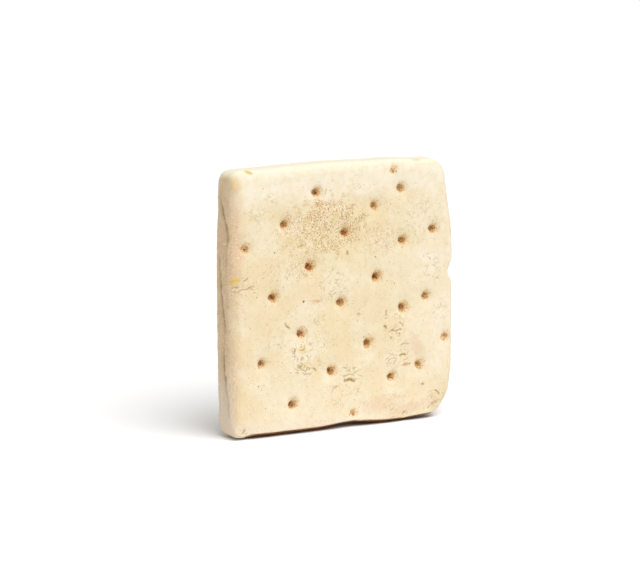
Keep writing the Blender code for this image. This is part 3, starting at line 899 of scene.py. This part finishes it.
def baked_flour_dough(settings):
    """Hard-baked flour and water, rolled and docked: dead matt and floury, pale cream where the oven only
    dried it, with straw and toast colours where blisters stood nearer the heat. Flour is a little
    translucent, which softens the edges of the marks."""
    surface = {
        "Roughness": 0.88, "IOR": 1.45, "Specular IOR Level": 0.25, "Subsurface Weight": 0.12,
        "Subsurface Scale": 1.0 * MM, "Subsurface Radius": (1.0, 0.6, 0.35),
    }
    material, tree, shader = new_material("baked_flour_dough", surface)
    node = partial(add, tree)
    place = node("place")
    mask = {name: node("mask", attribute_name=name) for name in DOUGH_MASKS}

    # The dough's own colour, as layers: how far each covers, as factors, and its colour. Broad clouds of
    # cream and biscuit, broken up at the size of a crumb, and paler where flour stayed white. Then the sides,
    # browner, whose colour is also laid as painted shade on the front's left edge, with drifts of two tones,
    # a cool cast near the foot, and loose flour with painted light from above on top.
    clouds = node("between", node("noise", place, scale(9), 3), 0.36, 0.66)
    crumbs = node("between", node("noise", place, scale(1.8), 4), 0.32, 0.72)
    rim, drifts = mask["rim"], node("noise", place, scale(5))
    layers = [
        (clouds, 0.48, "cream"),
        (mask["pale"], 0.75, "cream"),
        (crumbs, 0.46, "biscuit"),
        (rim, "rim"),
        (rim, node("between", drifts, 0.5, 0.62), 0.14, "blush"),
        (rim, node("between", drifts, 0.5, 0.38), 0.22, "olive"),
        (mask["ashen"], "ash"),
        (mask["dusted"], "dust"),
    ]

    # Toasted patches, and grains of flour darker and paler than the rest, thick in the patches and thin
    # elsewhere. Real grains are about 0.1 mm wide, and these are drawn nearly 0.4 mm wide so that they show.
    toast, blotches = mask["toast"], node("noise", place, scale(1.4))
    clumps = node("between", node("noise", place, scale(2.6), 3), 0.48, 0.66)
    grains = node("noise", place, scale(0.38), 1.5, 0.6)
    dark_grains, light_grains = node("between", grains, 0.46, 0.34), node("between", grains, 0.56, 0.68)
    floury = node("times_plus", mask["pale"], -0.6, 1.0)
    thin = node("times", node("times_plus", clumps, 0.26, 0.06), floury)
    thick = node("times_plus", toast, node("times_plus", clumps, 0.25, 0.8), thin)
    layers += [
        (toast, node("times_plus", clumps, 0.4, 0.15), "toast"),
        (toast, node("between", blotches, 0.54, 0.66), 0.6, "olive"),
        (toast, node("between", blotches, 0.46, 0.34), 0.5, "blush"),
        (dark_grains, thick, "crease"),
        (light_grains, node("times_plus", rim, 0.55, thick), "pale_grain_and_painted_highlight"),
    ]

    # Stains, flakes with a painted highlight on their torn edges and painted shade in the creases under them
    # and in the slits, stronger in places, and hairlines: a broken network with meshes about two millimetres
    # wide, each line drawn a tenth wide so that it shows.
    stain = node("mask", attribute_name="stain").node.outputs
    # How strong the painted shade in the creases is, from place to place.
    crease_shade_share = node("between", node("noise", place, scale(0.9)), 0.25, 0.65)
    warp = node("noise", place, scale(1.3)).node.outputs["Color"]
    network = node("cells", node("moved", warp, (1.6 * MM,) * 3, place), scale(2.0))
    broken = node("between", node("noise", place, scale(1.8)), 0.46, 0.56)
    seen = node("times_plus", mask["hairline"], 0.3, node("times", floury, 0.18))
    line = node("times", node("times", node("between", network, 0.055, 0.02), broken), seen)
    layers += [
        (stain["Alpha"], stain["Color"]),
        (mask["torn"], 0.55, "pale_grain_and_painted_highlight"),
        (mask["crease"], node("times_plus", crease_shade_share, 0.5, 0.45), "crease"),
        (line, 0.6, "crease"),
    ]

    # The docking marks, browned from a tan mouth to a dark floor, with grains. The dark floor is in part
    # painted shade, and the tan to the right of each mark is painted shade on the pit's right wall.
    ruddy, mottle = mask["ruddy"], node("between", node("noise", place, scale(0.5)), 0.36, 0.64)
    brown = node("times", mask["browned"], node("times_plus", mottle, 0.75, 0.55, use_clamp=False))
    gritty = node("between", brown, 0.05, 0.4)
    wall = node("mix", ruddy, settings.green_wall[:], settings.ruddy_wall[:])
    floor = node("mix", ruddy, settings.green_floor[:], settings.ruddy_floor[:])
    layers += [
        (node("between", brown, 0.02, 0.45), "mark_edge"),
        (node("between", brown, 0.30, 0.75), wall),
        (node("between", brown, 0.72, 1.05), floor),
        (gritty, dark_grains, 0.7, floor),
        (gritty, light_grains, 0.35, "pale_grain_and_painted_highlight"),
    ]

    # Painted shade on the underside, and the seam: painted shade at its bottom, a greenish fold behind it and
    # a painted highlight on the torn lip in front.
    layers += [
        (mask["sole"], "sole"),
        (mask["fold"], 0.4, "fold"),
        (mask["lip"], 0.5, "pale_grain_and_painted_highlight"),
        (mask["seam"], "painted_seam_shade"),
    ]
    colour = settings.biscuit[:]
    for *factors, cover, over in layers:
        for factor in reversed(factors):
            cover = node("times", factor, cover)
        colour = node("mix", cover, colour, getattr(settings, over)[:] if isinstance(over, str) else over)

    # Tooth of the skin: flour grains, too fine to model and drawn about 0.3 mm wide so that they show, cut
    # by the hairlines.
    soft_grit = node("times", node("noise", place, scale(0.9)), 0.4)
    grit = node("times_plus", node("noise", place, scale(0.32), 3), 0.6, soft_grit)
    cut = node("times_plus", line, -0.8, grit, use_clamp=False)
    tree.links.new(colour, shader.inputs["Base Color"])
    tree.links.new(node("bump", cut, 0.5, 0.14 * MM), shader.inputs["Normal"])
    return material


def two_toned(name, roughness, colour, other, width):
    """A dull material that drifts from one colour to halfway to another, in lumps this wide."""
    material, tree, shader = new_material(name, {"Roughness": roughness, "IOR": 1.45})
    patches = add(tree, "noise", add(tree, "place"), scale(width))
    halfway = [0.5 * c + 0.5 * d for c, d in zip(colour, other)]
    tree.links.new(add(tree, "mix", patches, colour, halfway), shader.inputs["Base Color"])
    return material


def dry_bran(settings):
    """Flakes of wheat bran, baked into the skin: brown and dull, some darker than others."""
    return two_toned("dry_bran", 0.8, settings.bran[:], settings.straw[:], 6)


def dry_flour(settings):
    """Crumbs of flour that dried without browning: pale, chalky and quite matt."""
    return two_toned("dry_flour", 0.95, settings.flour[:], settings.baked[:], 4)


def matt_paper(settings):
    """White background paper: even and quite matt."""
    surface = {"Base Color": settings.floor[:], "Roughness": 1.0, "Specular IOR Level": 0.0}
    return new_material("matt_paper", surface)[0]


# ---- the pieces


class MakeCrust(bpy.types.Operator):
    """Builds the whole biscuit with its rolled edge, docking marks, flakes, toasted patches and side seam"""

    bl_idname = "biscuit.make_crust"
    bl_label = "Crust"

    def execute(self, context):
        settings = context.scene.biscuit_crust
        points, faces = crust_mesh(settings)
        crust = object_from("crust", points, faces)
        mesh = crust.data
        normals = np.empty(3 * len(points), np.float32)
        mesh.vertices.foreach_get("normal", normals)
        normals = normals.reshape(-1, 3).astype(float)
        moved, masks = weathered(points, normals, settings)
        masks |= browned_masks(points, normals)
        moved[:, 2] = np.maximum(moved[:, 2], 0)
        mesh.vertices.foreach_set("co", (moved * MM).astype(np.float32).ravel())
        for name, values in masks.items():
            attribute = mesh.attributes.new(name, "FLOAT", "POINT")
            attribute.data.foreach_set("value", values.astype(np.float32))
        stain = mesh.attributes.new("stain", "FLOAT_COLOR", "POINT")
        stain.data.foreach_set("color", stain_colours(points, normals, settings).astype(np.float32).ravel())
        mesh.shade_smooth()
        mesh.update()
        mesh.materials.append(baked_flour_dough(settings))
        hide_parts("biscuit")
        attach(crust, "root")
        return {"FINISHED"}


FRONT_START, LEFT_START = -30, -60  # y and x of the places that specks are cast in from
LEAST_FACING = 0.6  # how squarely the skin has to face that way, or it gets no speck
FLECK_SEED, CRUMB_SEED = 7, 11
SPECK_SIDES = 6
SPECK_ROUGHNESS = (0.75, 1.1)  # the range of a speck's radii, as a share of its own
FLECK_RISE, CRUMB_RISE = 0.10, 0.35  # how far specks stand out of the skin, as a share of their size


def specks(name, places, rise, random):
    """One object of small lumps set into the crust: six-sided, flattened, no two alike. places holds a
    start in front of the crust, a direction and a size, and rise is how far they stand out of the skin."""
    crust = bpy.data.objects["crust"]
    points, faces = [], []
    for start, direction, size in places:
        hit, where, normal, _ = crust.ray_cast(Vector(start) * MM, Vector(direction))
        turn, long_way = random.uniform(0, 2 * math.pi), random.uniform(1.0, 1.8)
        if not hit or -normal.dot(Vector(direction)) < LEAST_FACING:
            continue
        across = normal.cross(Vector((math.cos(turn), 0.1, math.sin(turn)))).normalized()
        along = normal.cross(across)
        first = len(points)
        for lift, wide in ((-0.12, 0.8), (0.2 * rise, 1.0)):
            for k in range(SPECK_SIDES):
                angle = 2 * math.pi * k / SPECK_SIDES
                side = across * (math.cos(angle) * wide * size / 2 * random.uniform(*SPECK_ROUGHNESS))
                fore = along * (math.sin(angle) * wide * size / 2 / long_way)
                points.append(where / MM + side + fore + normal * lift * size)
        points.append(where / MM + normal * rise * size)
        points.append(where / MM - normal * 0.14 * size)
        top, bottom = first + 2 * SPECK_SIDES, first + 2 * SPECK_SIDES + 1
        for k in range(SPECK_SIDES):
            a, b = first + k, first + (k + 1) % SPECK_SIDES
            faces += [(a, b, b + SPECK_SIDES, a + SPECK_SIDES), (a + SPECK_SIDES, b + SPECK_SIDES, top)]
            faces.append((b, a, bottom))
    made = object_from(name, [tuple(p) for p in points], faces)
    made.data.shade_smooth()
    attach(made, "root")
    return made


def any_size(settings, random):
    """A speck's size between the smallest and the largest, in millimetres."""
    return random.uniform(settings.smallest, settings.largest) / MM


class MakeBranFlecks(bpy.types.Operator):
    """Sets flecks of bran into the front of the crust, which has to be there first"""

    bl_idname = "biscuit.make_bran_flecks"
    bl_label = "Bran flecks"

    def execute(self, context):
        settings = context.scene.biscuit_flecks
        random = np.random.default_rng(FLECK_SEED)
        places = [((x, FRONT_START, z), (0, 1, 0), size) for x, z, size in BIG_FLECKS]
        for _ in range(settings.count):
            x = random.uniform(-WIDTH / 2 + 2, WIDTH / 2 - 3)
            z = random.uniform(3, HEIGHT - 3)
            places.append(((x, FRONT_START, z), (0, 1, 0), any_size(settings, random)))
        flecks = specks("bran_flecks", places, FLECK_RISE, random)
        flecks.data.materials.append(dry_bran(settings))
        return {"FINISHED"}


class MakeFlourCrumbs(bpy.types.Operator):
    """Sets pale crumbs where the skin broke: round flakes, in toasted patches and along the seam's lip"""

    bl_idname = "biscuit.make_flour_crumbs"
    bl_label = "Flour crumbs"

    def execute(self, context):
        settings = context.scene.biscuit_crumbs
        random = np.random.default_rng(CRUMB_SEED)
        shares = np.array([half_x * half_z * most for _, _, half_x, half_z, most, _ in PATCHES])
        places = []
        for _ in range(settings.count):
            x, z, half_x, half_z, _, _ = PATCHES[random.choice(len(PATCHES), p=shares / shares.sum())]
            x, z = x + half_x * random.normal() * 0.6, z + half_z * random.normal() * 0.6
            places.append(((x, FRONT_START, z), (0, 1, 0), any_size(settings, random)))
        for _ in range(settings.on_seam):
            heights, ys, openness = np.array(SEAMS[random.integers(2)][::-1]).T
            z = random.uniform(heights[0], heights[-1])
            y = np.interp(z, heights, ys) - abs(random.normal() * 0.7)
            size = any_size(settings, random)
            if random.random() < np.interp(z, heights, openness):
                places.append(((LEFT_START, y, z), (1, 0, 0), size))
        crumbs = specks("flour_crumbs", places, CRUMB_RISE, random)
        crumbs.data.materials.append(dry_flour(settings))
        return {"FINISHED"}


# ---- the stage

AIM = Vector((-7.4, -3.4, 42.5)) * MM
VIEW_AZIMUTH, VIEW_ELEVATION = math.radians(-30), math.radians(9.3)
VIEW_DISTANCE = 819 * MM
SENSOR, LENS = 36.0, 155.25  # as a camera's data gives them, in millimetres
KEY_AZIMUTH, KEY_ELEVATION = math.radians(7), math.radians(58)
KEY_SPREAD = math.radians(50)


def towards(azimuth, elevation):
    """Unit vector from the biscuit to something seen that way: azimuth 0 is straight in front of it."""
    level = math.cos(elevation)
    return Vector((math.sin(azimuth) * level, -math.cos(azimuth) * level, math.sin(elevation)))


class MakeStage(bpy.types.Operator):
    """Lays the white floor and sets the softbox, the white room and the camera"""

    bl_idname = "biscuit.make_stage"
    bl_label = "Floor, light and camera"

    def execute(self, context):
        settings = context.scene.biscuit_stage
        half = settings.floor_size / MM / 2
        corners = [(-half, -half, 0), (half, -half, 0), (half, half, 0), (-half, half, 0)]
        floor = object_from("studio_floor", corners, [(0, 1, 2, 3)])
        floor.data.materials.append(matt_paper(settings))

        key_light = bpy.data.lights.new("softbox", "SUN")
        key_light.energy = settings.key_strength
        key_light.angle = KEY_SPREAD
        above = towards(KEY_AZIMUTH, KEY_ELEVATION)
        linked("softbox", key_light).rotation_euler = above.to_track_quat("Z", "Y").to_euler()

        room = bpy.data.worlds.new("white_room")
        room.use_nodes = True
        sky = room.node_tree.nodes["Background"]
        sky.inputs["Color"].default_value = (1, 1, 1, 1)
        sky.inputs["Strength"].default_value = settings.sky_strength
        context.scene.world = room

        lens = bpy.data.cameras.new("view")
        lens.sensor_width, lens.lens = SENSOR, LENS
        context.scene.camera = camera = linked("view", lens)
        back = towards(VIEW_AZIMUTH, VIEW_ELEVATION)
        camera.location = AIM + back * VIEW_DISTANCE
        camera.rotation_euler = back.to_track_quat("Z", "Y").to_euler()
        context.scene.view_settings.view_transform = "Standard"
        return {"FINISHED"}


class BiscuitPanel(bpy.types.Panel):
    bl_idname = "VIEW3D_PT_biscuit"
    bl_label = "Hardtack biscuit"
    bl_space_type = "VIEW_3D"
    bl_region_type = "UI"
    bl_category = "Biscuit"

    def draw(self, context):
        for operator, name, group in PARTS:
            box = self.layout.box()
            box.operator(operator.bl_idname)
            for setting in group.__annotations__:
                box.prop(getattr(context.scene, name), setting)


PARTS = (
    (MakeCrust, "biscuit_crust", CrustSettings),
    (MakeBranFlecks, "biscuit_flecks", FleckSettings),
    (MakeFlourCrumbs, "biscuit_crumbs", CrumbSettings),
    (MakeStage, "biscuit_stage", StageSettings),
)


def register():
    for operator, name, group in PARTS:
        bpy.utils.register_class(group)
        setattr(bpy.types.Scene, name, bpy.props.PointerProperty(type=group))
        bpy.utils.register_class(operator)
    bpy.utils.register_class(BiscuitPanel)


def unregister():
    bpy.utils.unregister_class(BiscuitPanel)
    for operator, name, group in reversed(PARTS):
        bpy.utils.unregister_class(operator)
        delattr(bpy.types.Scene, name)
        bpy.utils.unregister_class(group)


def main():
    register()
    bpy.ops.biscuit.make_crust()
    bpy.ops.biscuit.make_bran_flecks()
    bpy.ops.biscuit.make_flour_crumbs()
    bpy.ops.biscuit.make_stage()


if __name__ == "__main__":
    main()
